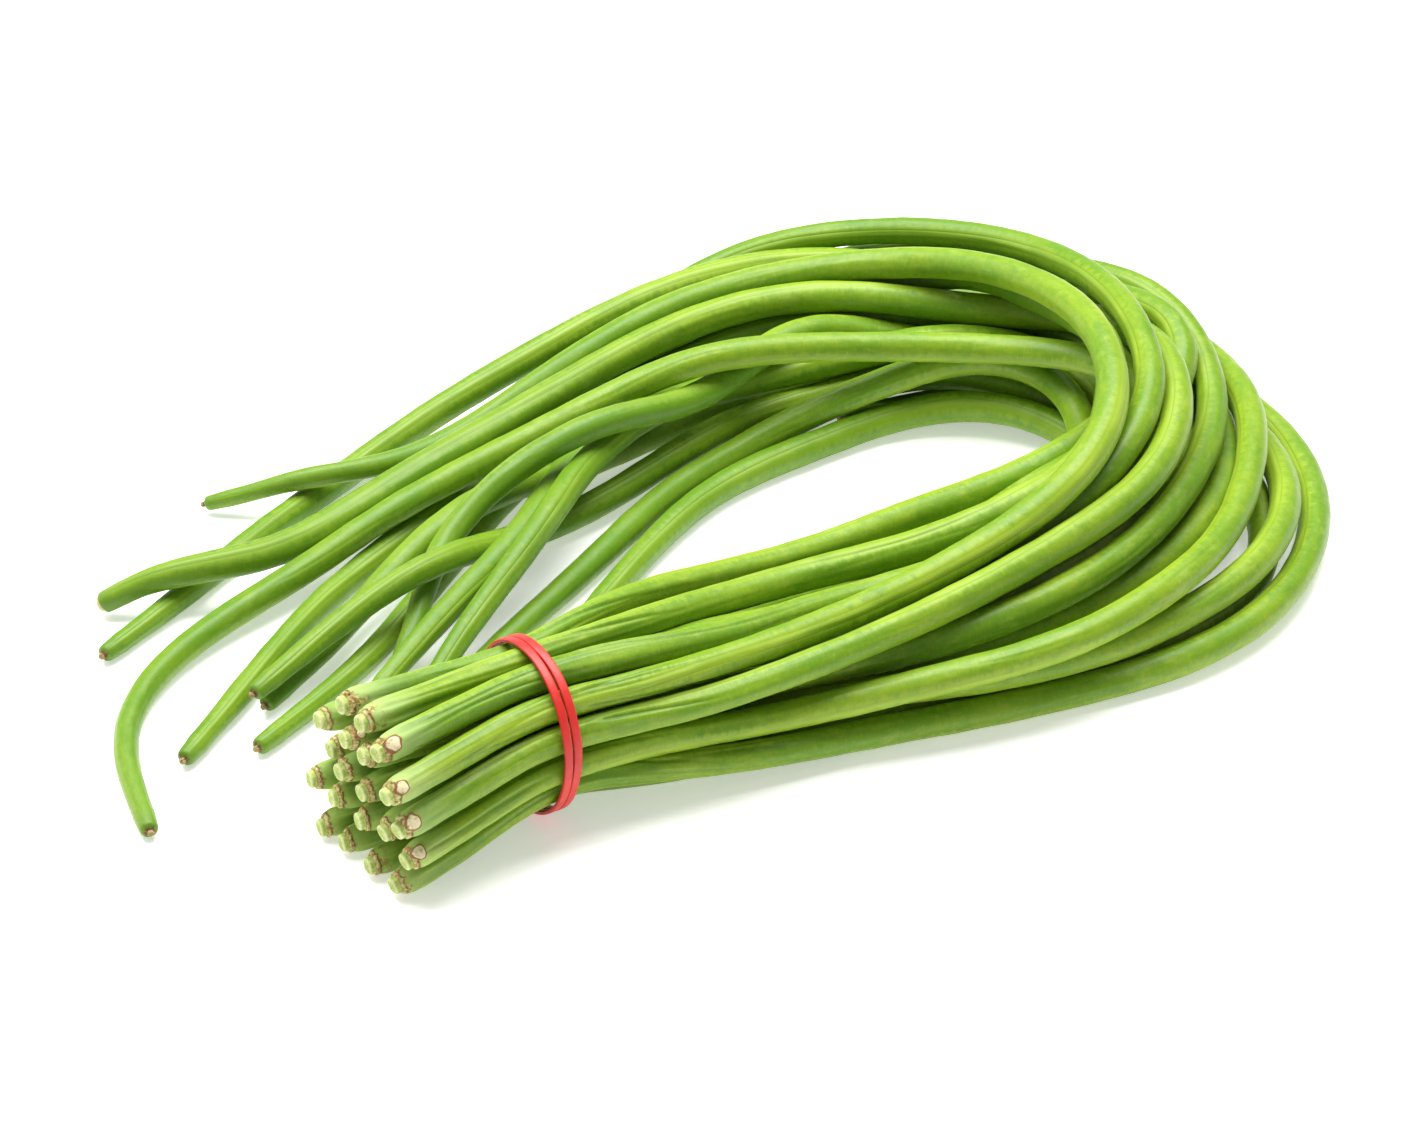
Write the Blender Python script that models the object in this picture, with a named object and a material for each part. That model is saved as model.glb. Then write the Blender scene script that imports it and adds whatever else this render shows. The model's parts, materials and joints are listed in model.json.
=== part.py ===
"""Bunch of yardlong beans, tied near the cut ends with a rubber band and bent back on itself.

Twenty pods are held side by side in the band: thirteen in an outer ring, six in an inner
ring and one in the middle. Past the band they run out together, bend round in a loop about
as wide as a hand and spread out as they come back past the tied end. The bunch lies on a
table. Every pod is one piece and one object; the band is one closed loop wound twice.

Lengths at the top are in millimetres. The meshes are built in metres, with +Z up.
"""

import math

import bpy
import numpy as np
from mathutils import Matrix, Vector

# ---- sizes, in millimetres ---------------------------------------------------------------

MM = 0.001

POD_SIDES = 8
POD_RADIUS = 4.5            # at the fat middle of an average pod
POD_RADIUS_SPREAD = 0.16    # how much thicker or thinner single pods are
SEAT_RADIUS = 3.85          # every pod where the band squeezes it
NECK_RADIUS = 3.8           # just past the scar at the cut end
TIP_RADIUS = 2.5            # just before the tip
END_SIZES = {4: 0.86, 5: 1.2}    # two pods, by number, whose last stretch is slimmer or stouter

TIE_TO_CUT = 54.3           # from the middle of the band to the cut ends
HELD_HALF = 7.0             # the pods lie straight and parallel this far on each side of the tie
OUTER_RING = 17.1           # radius of the ring through the middles of the outer pods
INNER_RING = 8.6
OUTER_START = 50.0          # degrees, where the first outer pod sits
TIE_AZIMUTH = 31.0          # degrees, which way the tied bundle points in plan
TIE_HEIGHT = 22.35
CUT_FLARE = 0.25            # the cut ends stand this much further apart than at the tie
CUT_TWIST = 15.0            # degrees that the bundle turns from the tie to the cut ends
CUT_LIFT = 1.0              # how far the cut ends rise

STEM_POINTS = 5             # stations from the cut end to the band
RUN_POINTS = 39             # stations from the band to the tip

ROOM = 0.35                 # clear space kept between two pods
SETTLE_ROUNDS = 200         # passes in which the pods straighten and keep to their routes
ROOM_ROUNDS = 380           # with the last passes, which mostly push crossing pods apart
SETTLE_STIFF = 0.3          # share of a pod's unevenness taken out in one settling pass
SETTLE_PULL = 0.03          # share of the way back to its route in one settling pass
LAST_STIFF = 0.08           # the same two shares in the last passes
LAST_PULL = 0.004
STEM_PULL = 0.05            # extra pull that keeps the cut ends in place
STRETCH_BACK = 0.15         # share of a stretch or squeeze between stations taken out in a pass
PUSH_EACH = 0.4             # share of a missing gap that each of two crossing pods moves
PUSH_GAIN = 1.6             # makes up for a push being shared between two stations
NEIGHBOURS_EVERY = 8        # passes after which near pairs are looked up again
NEIGHBOUR_MARGIN = 4.0      # how much further than touching still counts as near

BAND_WIDTH = 2.2
BAND_THICK = 1.2
BAND_STRAND_GAP = 0.35      # between the two windings
BAND_CLEARANCE = 0.3        # between the band and the pods it holds
BAND_LEAN = 0.09            # its top leans towards the loop by this share of its height
BAND_STEPS = 36             # sections in one winding
BAND_CROSS_AT = -20.0       # degrees, where the two windings change lanes
BAND_CROSS_HALF = 20.0      # degrees before and after that which the change takes

# ---- routes ------------------------------------------------------------------------------
# Each pod has three lengths for its cut end: how far it falls short of the others, and how far
# it strays sideways and up from its place in the fan. Then comes the way it takes past the
# band: points three to four centimetres apart, in whole millimetres, measured on the table
# from the spot below the middle of the band. The outer pods follow each other round their
# ring, from the top of the bundle over its near side and back underneath.

OUTER_PODS = [
    (7, -2.2, 0.1, [
        (8, 29, 38), (35, 51, 27), (63, 72, 20), (94, 90, 15), (124, 109, 15), (152, 130, 21),
        (168, 161, 23), (162, 195, 22), (133, 215, 18), (100, 224, 23), (64, 218, 24),
        (32, 204, 23), (2, 186, 16), (-28, 167, 10), (-53, 142, 5), (-74, 114, 4), (-94, 85, 3),
        (-114, 54, 3),
    ]),
    (7, -2.2, -1.9, [
        (20, 16, 37), (45, 39, 30), (73, 60, 27), (106, 73, 26), (136, 91, 30), (153, 120, 35),
        (153, 154, 41), (130, 178, 34), (104, 200, 25), (71, 204, 22), (37, 195, 19), (7, 178, 14),
    ]),
    (6.5, -2.8, -1.4, [
        (27, 2, 36), (53, 26, 31), (81, 47, 27), (112, 63, 27), (141, 84, 31), (163, 112, 38),
        (162, 146, 43), (153, 180, 40), (135, 210, 35), (103, 225, 31), (68, 229, 25),
        (36, 217, 19), (12, 191, 12),
    ]),
    (4.5, -2.8, -1.8, [
        (30, 2, 35), (60, 21, 32), (89, 41, 31), (117, 62, 35), (144, 87, 41), (154, 121, 46),
        (145, 156, 44), (126, 186, 39), (94, 198, 33), (59, 198, 28), (27, 187, 24), (1, 163, 15),
        (-26, 140, 11), (-58, 122, 10), (-94, 125, 3),
    ]),
    (6, -1.9, -1.7, [
        (33, -2, 29), (64, 14, 29), (96, 31, 31), (122, 54, 31), (145, 80, 33), (163, 109, 36),
        (170, 144, 37), (156, 175, 33), (124, 190, 28), (89, 194, 29), (54, 193, 27),
        (21, 177, 22), (-6, 155, 16), (-33, 133, 13), (-56, 105, 9), (-80, 76, 4), (-114, 77, 3),
    ]),
    (7.5, -3.4, -2.5, [
        (30, 0, 13), (64, 13, 15), (100, 24, 19), (136, 35, 20), (164, 59, 20), (183, 91, 20),
        (190, 127, 19), (189, 164, 18), (174, 198, 16), (144, 219, 13), (108, 227, 11),
        (72, 222, 10), (39, 204, 9), (10, 181, 7), (-18, 156, 4),
    ]),
    (6, -5.4, -5.2, [
        (27, 0, 3), (60, 16, 5), (95, 28, 5), (129, 38, 4), (163, 53, 5), (190, 75, 6),
        (207, 107, 5), (211, 143, 5), (194, 175, 5), (168, 201, 5), (135, 215, 5), (99, 218, 5),
        (63, 209, 5), (32, 190, 4), (7, 164, 4), (-16, 136, 4), (-39, 109, 4), (-60, 81, 4),
        (-72, 43, 4), (-88, 10, 3),
    ]),
    (4.4, -3.1, -1.4, [
        (28, 3, 6), (60, 17, 4), (93, 30, 4), (126, 42, 4), (160, 53, 5), (187, 75, 5),
        (195, 111, 5), (188, 146, 5), (169, 175, 5), (139, 193, 5), (104, 194, 5), (71, 184, 4),
        (40, 167, 4), (13, 145, 5), (-10, 118, 11), (-32, 91, 10), (-50, 61, 5), (-70, 32, 3),
    ]),
    (3, -1.4, -0.9, [
        (24, 10, 7), (58, 20, 12), (93, 27, 12), (128, 35, 10), (158, 54, 13), (187, 77, 13),
        (200, 109, 11), (197, 144, 9), (181, 176, 6), (153, 198, 4), (119, 207, 4), (84, 203, 4),
        (51, 188, 4), (23, 166, 4), (-2, 140, 4), (-18, 108, 4), (-29, 70, 4), (-48, 43, 3),
        (-70, 15, 3),
    ]),
    (1, -3.6, -4.8, [
        (19, 16, 5), (53, 29, 4), (88, 39, 4), (122, 52, 4), (152, 72, 4), (176, 98, 4),
        (181, 134, 4), (162, 164, 4), (128, 176, 4), (95, 173, 4), (80, 167, 4),
    ]),
    (1.8, -2.8, -1.8, [
        (13, 25, 10), (42, 42, 5), (74, 54, 4), (107, 66, 5), (136, 83, 5), (160, 108, 5),
        (159, 144, 5), (132, 162, 11), (100, 168, 4), (71, 155, 4), (47, 132, 4), (29, 103, 4),
        (14, 74, 3), (5, 59, 3),
    ]),
    (7.1, -4.9, -5.2, [
        (10, 29, 18), (36, 49, 7), (68, 62, 4), (101, 72, 8), (129, 91, 14), (147, 121, 12),
        (150, 154, 15), (125, 177, 14), (101, 172, 10), (70, 162, 8), (43, 145, 4), (26, 116, 4),
        (9, 88, 4), (-10, 60, 3), (-21, 42, 3),
    ]),
    (3.5, -3.4, -1.6, [
        (10, 28, 27), (34, 53, 17), (63, 74, 11), (96, 90, 11), (128, 105, 19), (158, 124, 22),
        (174, 155, 28), (160, 186, 30), (131, 205, 21), (96, 210, 14), (61, 202, 12),
        (30, 184, 13), (0, 164, 11), (-26, 139, 5), (-53, 115, 3),
    ]),
]

INNER_PODS = [
    (4.4, -5.1, -3.5, [
        (15, 22, 21), (40, 47, 15), (69, 67, 13), (101, 82, 9), (134, 95, 5), (157, 120, 12),
        (160, 155, 13), (136, 179, 17), (102, 181, 20), (68, 173, 14), (35, 162, 16),
        (14, 133, 19), (1, 100, 19), (-16, 69, 12), (-29, 36, 3),
    ]),
    (5.5, 0.6, 1.4, [
        (17, 18, 29), (44, 41, 20), (74, 57, 16), (108, 73, 19), (141, 93, 22), (161, 125, 22),
        (165, 159, 21), (142, 189, 20), (103, 195, 18), (66, 190, 16), (33, 178, 13), (4, 156, 11),
    ]),
    (5.5, 2, 4.7, [
        (22, 11, 33), (49, 35, 26), (81, 53, 19), (113, 70, 19), (143, 91, 23), (163, 122, 32),
        (154, 150, 32), (121, 166, 25), (85, 167, 27), (51, 154, 28), (17, 144, 20),
        (-16, 130, 14), (-44, 106, 10), (-70, 80, 6), (-95, 52, 4), (-107, 18, 3), (-93, -18, 3),
    ]),
    (5.6, -4.3, -3.3, [
        (28, 3, 24), (60, 20, 22), (94, 32, 21), (126, 49, 23), (154, 73, 23), (171, 104, 24),
        (183, 138, 24), (178, 173, 28), (155, 199, 27), (125, 219, 23), (91, 230, 18),
        (56, 222, 14), (25, 205, 8),
    ]),
    (4.5, 0.2, 2.3, [
        (23, 10, 15), (54, 24, 13), (87, 33, 12), (119, 48, 13), (150, 66, 14), (171, 92, 14),
        (185, 124, 14), (183, 159, 14), (163, 187, 13), (131, 200, 13), (97, 199, 11),
        (64, 188, 11), (37, 168, 13), (15, 142, 10), (-2, 115, 9), (-13, 85, 11), (-29, 56, 11),
        (-43, 32, 5),
    ]),
    (2.3, -0.7, 0.5, [
        (18, 17, 14), (47, 36, 8), (81, 46, 5), (114, 59, 5), (144, 77, 5), (167, 103, 5),
        (171, 137, 5), (148, 164, 6), (117, 178, 14), (89, 172, 11), (60, 159, 8), (36, 137, 7),
        (11, 114, 7), (-15, 94, 10), (-40, 73, 10), (-60, 47, 10), (-73, 28, 9),
    ]),
]

MIDDLE_POD = [
    (6, -3.4, -2.6, [
        (23, 11, 24), (53, 28, 23), (84, 44, 18), (114, 61, 14), (142, 82, 14), (163, 108, 14),
        (172, 141, 14), (164, 173, 13), (133, 188, 12), (99, 190, 15), (70, 173, 19),
        (43, 154, 21), (18, 128, 24), (-11, 110, 23), (-26, 88, 9), (-36, 49, 3),
    ]),
]

TIE = np.array([0.0, 0.0, TIE_HEIGHT])
ALONG = np.array([math.cos(math.radians(TIE_AZIMUTH)), math.sin(math.radians(TIE_AZIMUTH)), 0.0])
ACROSS = np.array([-ALONG[1], ALONG[0], 0.0])
UP = np.array([0.0, 0.0, 1.0])


# ---- where each pod runs -----------------------------------------------------------------

def seat_point(ring, angle, station, stray=(0.0, 0.0)):
    """Middle of a pod at a station along the tied bundle, negative towards the cut ends."""
    toward_cut = max(0.0, -(station + HELD_HALF)) / (TIE_TO_CUT - HELD_HALF)
    turn = math.radians(angle + CUT_TWIST * toward_cut)
    reach = ring * (1.0 + CUT_FLARE * toward_cut)
    sideways = ACROSS * math.cos(turn) + UP * math.sin(turn)
    fan = TIE + ALONG * station + sideways * reach + UP * CUT_LIFT * toward_cut
    return fan + (ACROSS * stray[0] + UP * stray[1]) * toward_cut


def smooth_curve(points, steps=24):
    """Points of a smooth curve through the given ones (a centripetal Catmull-Rom spline)."""
    given = [np.array(p, float) for p in points]
    given = [2 * given[0] - given[1]] + given + [2 * given[-1] - given[-2]]
    curve = []
    for a, b, c, d in zip(given, given[1:], given[2:], given[3:]):
        knots = [0.0]
        for start, end in ((a, b), (b, c), (c, d)):
            knots.append(knots[-1] + math.sqrt(np.linalg.norm(end - start)))
        for t in np.linspace(knots[1], knots[2], steps, endpoint=False):
            ab = (a * (knots[1] - t) + b * t) / knots[1]
            bc = (b * (knots[2] - t) + c * (t - knots[1])) / (knots[2] - knots[1])
            cd = (c * (knots[3] - t) + d * (t - knots[2])) / (knots[3] - knots[2])
            abc = (ab * (knots[2] - t) + bc * t) / knots[2]
            bcd = (bc * (knots[3] - t) + cd * (t - knots[1])) / (knots[3] - knots[1])
            curve.append((abc * (knots[2] - t) + bcd * (t - knots[1])) / (knots[2] - knots[1]))
    curve.append(given[-2])
    return np.array(curve)


def length_along(path):
    """Distance of every point of a path from its start."""
    steps = np.sqrt(((path[1:] - path[:-1]) ** 2).sum(axis=1))
    return np.concatenate([[0.0], np.cumsum(steps)])


def evenly_spaced(path, count):
    """The same path with count points, all the same distance apart."""
    here = length_along(path)
    wanted = np.linspace(0.0, here[-1], count)
    return np.stack([np.interp(wanted, here, path[:, axis]) for axis in range(3)], axis=1)


def pod_path(ring, angle, cut_short, stray, route):
    """Stations of one pod from its cut end, through the band and along its route."""
    stem_stations = (cut_short - TIE_TO_CUT, -0.75 * TIE_TO_CUT, -0.45 * TIE_TO_CUT, -HELD_HALF)
    stem = [seat_point(ring, angle, station, stray) for station in stem_stations]
    leaving = seat_point(ring, angle, HELD_HALF)
    run = smooth_curve([stem[-1], leaving] + [np.array(p, float) for p in route])
    run = run[length_along(run) >= 2 * HELD_HALF]
    run = evenly_spaced(np.vstack([leaving, run]), RUN_POINTS)
    return np.vstack([evenly_spaced(smooth_curve(stem), STEM_POINTS), run])


def pod_radii(path, fat, ending):
    """Pod radius at each station: thin neck, fat middle, then a long taper to the tip.

    A share of 0 is at the band, 1 at the tip, and the cut end lies before 0.
    """
    here = length_along(path)
    share = (here - TIE_TO_CUT) / (here[-1] - TIE_TO_CUT)
    shape = [(-0.2, NECK_RADIUS), (-0.1, NECK_RADIUS), (-0.01, SEAT_RADIUS), (0.04, SEAT_RADIUS),
             (0.25, fat), (0.62, fat), (0.85, 0.9 * fat * ending), (0.95, 0.76 * fat * ending),
             (1.0, (TIP_RADIUS + 0.3) * ending)]
    return np.interp(share, [s for s, _ in shape], [r for _, r in shape])


# ---- pods lie on each other without crossing ---------------------------------------------

def nearest_places(a, b, c, d):
    """Shares along segments a-b and c-d where they come closest."""
    ab, cd, gap = b - a, d - c, a - c
    len_ab, len_cd = (ab * ab).sum(axis=1), (cd * cd).sum(axis=1)
    both, on_ab, on_cd = (ab * cd).sum(axis=1), (ab * gap).sum(axis=1), (cd * gap).sum(axis=1)
    spread = len_ab * len_cd - both * both
    safe = np.maximum(spread, 1e-9)
    share_ab = np.where(spread > 1e-9, np.clip((both * on_cd - on_ab * len_cd) / safe, 0, 1), 0.5)
    share_cd = np.clip((both * share_ab + on_cd) / len_cd, 0, 1)
    share_ab = np.clip((both * share_cd - on_ab) / len_ab, 0, 1)
    return share_ab, share_cd


def segments_in_reach(paths, reach):
    """Pairs of segments whose middles are near each other, as numbers of their first points."""
    pods, stations, _ = paths.shape
    middles = (0.5 * (paths[:, 1:] + paths[:, :-1])).reshape(-1, 3)
    pod = np.repeat(np.arange(pods), stations - 1)
    station = np.tile(np.arange(stations - 1), pods)
    apart = sum((middles[:, None, axis] - middles[None, :, axis]) ** 2 for axis in range(3))
    near = apart < reach * reach
    near &= np.arange(len(middles))[:, None] < np.arange(len(middles))[None, :]
    near &= ~((pod[:, None] == pod[None, :]) & (abs(station[:, None] - station[None, :]) < 4))
    first, second = np.nonzero(near)
    return pod[first] * stations + station[first], pod[second] * stations + station[second]


def push_apart(points, radii, first, second, free):
    """Move the points so that segments nearer than their two radii and the room part."""
    share_a, share_b = nearest_places(points[first], points[first + 1],
                                      points[second], points[second + 1])
    place_a = points[first] + (points[first + 1] - points[first]) * share_a[:, None]
    place_b = points[second] + (points[second + 1] - points[second]) * share_b[:, None]
    between = place_a - place_b
    apart = np.sqrt((between * between).sum(axis=1))
    radius_a = radii[first] * (1 - share_a) + radii[first + 1] * share_a
    radius_b = radii[second] * (1 - share_b) + radii[second + 1] * share_b
    missing = radius_a + radius_b + ROOM - apart
    hit = missing > 0
    move = between[hit] / np.maximum(apart[hit], 1e-6)[:, None] * (PUSH_EACH * missing[hit])[:, None]
    total = np.zeros_like(points)
    weight = np.zeros(len(points))
    for numbers, share, side in ((first[hit], 1 - share_a[hit], 1), (first[hit] + 1, share_a[hit], 1),
                                 (second[hit], 1 - share_b[hit], -1), (second[hit] + 1, share_b[hit], -1)):
        np.add.at(total, numbers, side * share[:, None] * move)
        np.add.at(weight, numbers, share)
    points += total / np.maximum(weight, 1.0)[:, None] * PUSH_GAIN * free.reshape(-1, 1)
    return missing


def straighten(paths):
    """The small move of each point that evens out the bend of its pod, less near the two ends."""
    move = np.zeros_like(paths)
    move[:, 2:-2] = (4 * paths[:, 1:-3] + 4 * paths[:, 3:-1] - 6 * paths[:, 2:-2]
                     - paths[:, :-4] - paths[:, 4:]) / 6
    move[:, 1] = 0.15 * (paths[:, 0] + paths[:, 2] - 2 * paths[:, 1])
    move[:, -2] = 0.15 * (paths[:, -1] + paths[:, -3] - 2 * paths[:, -2])
    return move


def make_room(paths, radii):
    """Let the pods settle: they stay near their routes, bend evenly, and never cross."""
    wanted = paths.copy()
    paths = paths.copy()
    rest = np.sqrt(((paths[:, 1:] - paths[:, :-1]) ** 2).sum(axis=2))
    held = np.zeros(paths.shape[:2], bool)
    held[:, STEM_POINTS - 1:STEM_POINTS + 1] = True
    free = (~held)[..., None].astype(float)
    reach = 2 * radii.max() + rest.max() + NEIGHBOUR_MARGIN
    for turn in range(ROOM_ROUNDS):
        settling = turn < SETTLE_ROUNDS
        stiff, pull = (SETTLE_STIFF, SETTLE_PULL) if settling else (LAST_STIFF, LAST_PULL)
        move = stiff * straighten(paths) + pull * (wanted - paths)
        move[:, :STEM_POINTS - 1] += STEM_PULL * (wanted - paths)[:, :STEM_POINTS - 1]
        paths += move * free
        steps = paths[:, 1:] - paths[:, :-1]
        size = np.sqrt((steps ** 2).sum(axis=2))
        even = steps * ((size - rest) / size * STRETCH_BACK)[..., None]
        paths[:, :-1] += even * free[:, :-1]
        paths[:, 1:] -= even * free[:, 1:]
        if turn % NEIGHBOURS_EVERY == 0:
            first, second = segments_in_reach(paths, reach)
        points = paths.reshape(-1, 3)
        for _ in range(2):
            missing = push_apart(points, radii.reshape(-1), first, second, free)
        low = radii - paths[..., 2]
        paths[..., 2] += np.where((low > 0) & ~held, low, 0.0)
    print("pods still short of room by", round(float(missing.max()), 3), "mm")
    return paths


# ---- meshes ------------------------------------------------------------------------------

def sweep_frames(path):
    """Two directions square to a path at each point, carried along it without twist."""
    along = np.gradient(path, axis=0)
    along /= np.sqrt((along ** 2).sum(axis=1))[:, None]
    side = np.cross(along[0], UP)
    sides = []
    for tangent in along:
        side = side - tangent * (side * tangent).sum()
        side = side / math.sqrt((side * side).sum())
        sides.append(side)
    sides = np.array(sides)
    return sides, np.cross(along, sides)


def add_end_stations(path, radii, ending):
    """Path and radii with the extra stations of the stalk knob, the scar and the tip."""
    here = length_along(path)
    whole = here[-1]
    neck = [(0.0, 1.4), (0.5, 2.1), (2.2, 2.3), (2.6, 2.9), (4.2, 3.4), (7.5, NECK_RADIUS)]
    tip = [(4.5, TIP_RADIUS * ending), (2.0, 2.2 * ending), (1.5, 1.2 * ending), (0.0, 0.8 * ending)]
    stations = [s for s, _ in neck] + list(here[1:-1]) + [whole - s for s, _ in tip]
    sizes = [r for _, r in neck] + list(radii[1:-1]) + [r for _, r in tip]
    places = np.stack([np.interp(stations, here, path[:, axis]) for axis in range(3)], axis=1)
    return places, np.array(sizes)


def tube_mesh(name, path, radii, sides):
    """Closed round tube with a flat cap at each end, in metres."""
    across, upward = sweep_frames(path)
    angles = 2 * math.pi * np.arange(sides) / sides
    rings = [centre + radius * (np.outer(np.cos(angles), a) + np.outer(np.sin(angles), u))
             for centre, radius, a, u in zip(path, radii, across, upward)]
    corners = np.vstack(rings) * MM
    faces = [tuple(range(sides))[::-1]]
    for ring in range(len(path) - 1):
        for k in range(sides):
            nxt = (k + 1) % sides
            low, high = ring * sides, (ring + 1) * sides
            faces.append((low + k, low + nxt, high + nxt, high + k))
    faces.append(tuple((len(path) - 1) * sides + k for k in range(sides)))
    mesh = bpy.data.meshes.new(name)
    mesh.from_pydata(corners.tolist(), [], faces)
    return mesh


def step_between(value, low, high):
    """Smooth step from 0 to 1 as value goes from low to high."""
    t = min(max((value - low) / (high - low), 0.0), 1.0)
    return t * t * (3 - 2 * t)


def band_lane(turned):
    """Where the band runs after turning by this many degrees: which lane, and how far lifted.

    The first winding keeps to the lane at -1 and the second to the lane at +1. They change
    over at one place, where the strand that comes back hops over the other.
    """
    past_start = turned if turned < 360.0 else turned - 720.0
    if abs(past_start) < 180.0:
        lane = 1 - 2 * step_between(past_start, -BAND_CROSS_HALF, BAND_CROSS_HALF)
    else:
        lane = 2 * step_between(turned, 360.0 - BAND_CROSS_HALF, 360.0 + BAND_CROSS_HALF) - 1
    hop = 1 - step_between(abs(past_start), BAND_CROSS_HALF + 5.0, 2.5 * BAND_CROSS_HALF)
    return lane, hop


def band_mesh(name):
    """The rubber band: one closed loop that goes twice round, its windings side by side."""
    inner = OUTER_RING + SEAT_RADIUS + BAND_CLEARANCE
    lane_width = 0.5 * (BAND_WIDTH + BAND_STRAND_GAP)
    half, edge = 0.5 * BAND_WIDTH, 0.3 * BAND_THICK
    section = [(-half, edge), (-half, BAND_THICK - edge), (edge - half, BAND_THICK),
               (half - edge, BAND_THICK), (half, BAND_THICK - edge), (half, edge),
               (half - edge, 0.0), (edge - half, 0.0)]
    count, steps = len(section), 2 * BAND_STEPS
    corners, faces = [], []
    for k in range(steps):
        turned = 360.0 * (k + 0.5) / BAND_STEPS
        lane, hop = band_lane(turned)
        angle = math.radians(turned + BAND_CROSS_AT)
        outward = ACROSS * math.cos(angle) + UP * math.sin(angle)
        reach = inner + hop * (BAND_THICK + BAND_CLEARANCE)
        aside = lane * lane_width + BAND_LEAN * inner * math.sin(angle)
        for wide, thick in section:
            corner = TIE + ALONG * (aside + wide) + outward * (reach + thick)
            corners.append(tuple(corner * MM))
        after = (k + 1) % steps
        for j in range(count):
            nxt = (j + 1) % count
            faces.append((after * count + j, after * count + nxt, k * count + nxt, k * count + j))
    mesh = bpy.data.meshes.new(name)
    mesh.from_pydata(corners, [], faces)
    return mesh


# ---- objects -----------------------------------------------------------------------------

def material(name, colour, roughness):
    """Principled material with one colour."""
    made = bpy.data.materials.new(name)
    made.use_nodes = True
    shader = made.node_tree.nodes["Principled BSDF"]
    shader.inputs["Base Color"].default_value = (*colour, 1.0)
    shader.inputs["Roughness"].default_value = roughness
    shader.inputs["Metallic"].default_value = 0.0
    return made


def add_object(name, mesh, finish):
    """One named object with its material and smooth shading."""
    mesh.materials.append(finish)
    mesh.shade_smooth()
    mesh.update()
    made = bpy.data.objects.new(name, mesh)
    bpy.context.scene.collection.objects.link(made)
    return made


def clear_scene():
    """Start from an empty scene."""
    for old in list(bpy.data.objects):
        bpy.data.objects.remove(old, do_unlink=True)


def all_seats():
    """Ring radius, angle, cut end and route of every pod, in the order of their names."""
    seats = []
    for k, (short, aside, lift, route) in enumerate(OUTER_PODS):
        angle = OUTER_START + 360.0 * k / len(OUTER_PODS)
        seats.append((OUTER_RING, angle, short, (aside, lift), route))
    for k, (short, aside, lift, route) in enumerate(INNER_PODS):
        seats.append((INNER_RING, 360.0 * k / len(INNER_PODS), short, (aside, lift), route))
    for short, aside, lift, route in MIDDLE_POD:
        seats.append((0.0, 0.0, short, (aside, lift), route))
    return seats


def pod_colour(k):
    """Bean green, a little lighter or darker from pod to pod."""
    shade = 1.0 + 0.12 * math.sin(2.4 * k)
    return (0.19 * shade, 0.36 * shade, 0.04 * shade)


def centre_on_table(objects):
    """Move the meshes so that the bunch's box is centred on the origin, with its foot at z = 0."""
    corners = np.array([vertex.co for obj in objects for vertex in obj.data.vertices])
    low, high = corners.min(axis=0), corners.max(axis=0)
    shift = Vector((-(low[0] + high[0]) / 2, -(low[1] + high[1]) / 2, -low[2]))
    for obj in objects:
        obj.data.transform(Matrix.Translation(shift))
    print("box in metres", np.round(high - low, 4), "tie at", np.round(TIE * MM + shift, 5))


def build():
    """All pods and the band."""
    clear_scene()
    seats = all_seats()
    paths = np.array([pod_path(*seat) for seat in seats])
    fats = [POD_RADIUS + POD_RADIUS_SPREAD * math.sin(1.9 * k + 1.0) for k in range(len(seats))]
    endings = [END_SIZES.get(k + 1, 1.0) for k in range(len(seats))]
    radii = np.array([pod_radii(*pod) for pod in zip(paths, fats, endings)])
    paths = make_room(paths, radii)
    objects = []
    for k, (path, radius) in enumerate(zip(paths, radii)):
        name = "pod_%02d" % (k + 1)
        places, sizes = add_end_stations(path, radius, endings[k])
        mesh = tube_mesh(name, places, sizes, POD_SIDES)
        objects.append(add_object(name, mesh, material(name, pod_colour(k), 0.45)))
    red = material("red_rubber", (0.75, 0.06, 0.05), 0.4)
    objects.append(add_object("rubber_band", band_mesh("rubber_band"), red))
    centre_on_table(objects)


build()
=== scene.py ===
# %% [markdown]
# # A bunch of yardlong beans
#
# Twenty fresh pods, 40 to 80 cm long, are held by a doubled rubber band near their cut ends.
# Past the band they fan out, bend round in a loop and cross each other as they come back. This
# lesson grows the pods along centre lines read from the solid model, then gives them skin,
# scars and tips, winds the band, and sets soft light over a pale floor.

# %% Load the solid model
import json
import math

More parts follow.
